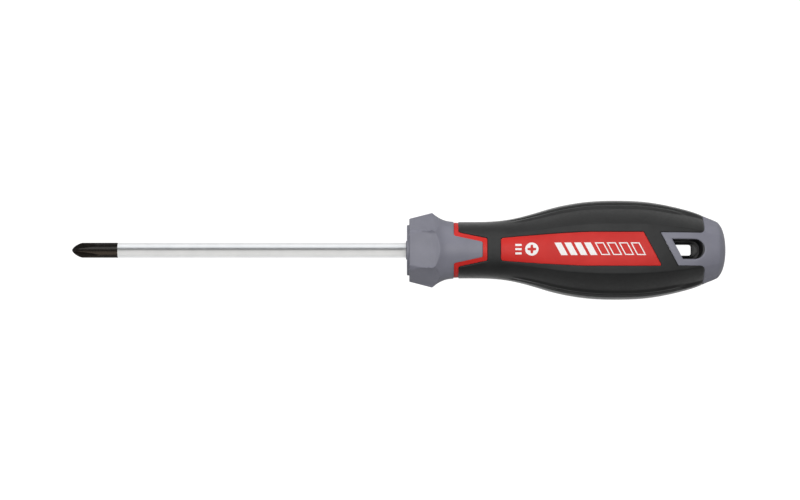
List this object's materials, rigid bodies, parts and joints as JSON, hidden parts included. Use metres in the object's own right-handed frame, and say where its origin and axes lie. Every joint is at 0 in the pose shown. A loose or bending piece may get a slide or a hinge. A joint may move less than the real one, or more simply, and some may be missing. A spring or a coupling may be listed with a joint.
{
  "type": "screwdriver",
  "caption": "Cross-point screwdriver with a round steel blade and a swelling soft-grip handle, a hexagonal grey collar, red inlays and a hanging slot in the grey end cap.",
  "frame": {"origin": "on the blade's axis, where the bar leaves the front of the handle", "axes": "-X along the blade towards its point, +X along the handle towards its end cap, +Z out of the face that looks up, +Y to the left of someone who looks along +X with that face up"},
  "size_m": [0.2612, 0.0396, 0.0368],
  "materials": {
    "black_oxide_steel": "thin black oxide on a ground steel point",
    "satin_chrome": "satin chrome plate, faintly polished along the bar",
    "red_plastic": "semi-gloss moulded red plastic",
    "grey_plastic": "fine-grained matte bluish-grey plastic",
    "black_soft_grip": "soft-touch thermoplastic rubber with a very fine grain",
    "black_plastic": "matte black plastic",
    "white_print": "thin white pad print on the panels"
  },
  "bodies": {
    "root": {"blade_tip": "black_oxide_steel", "blade_shank": "satin_chrome", "handle_core": "red_plastic", "front_collar": "grey_plastic", "soft_grip": "black_soft_grip", "end_cap": "grey_plastic", "slot_liner": "black_plastic"}
  },
  "joints": []
}
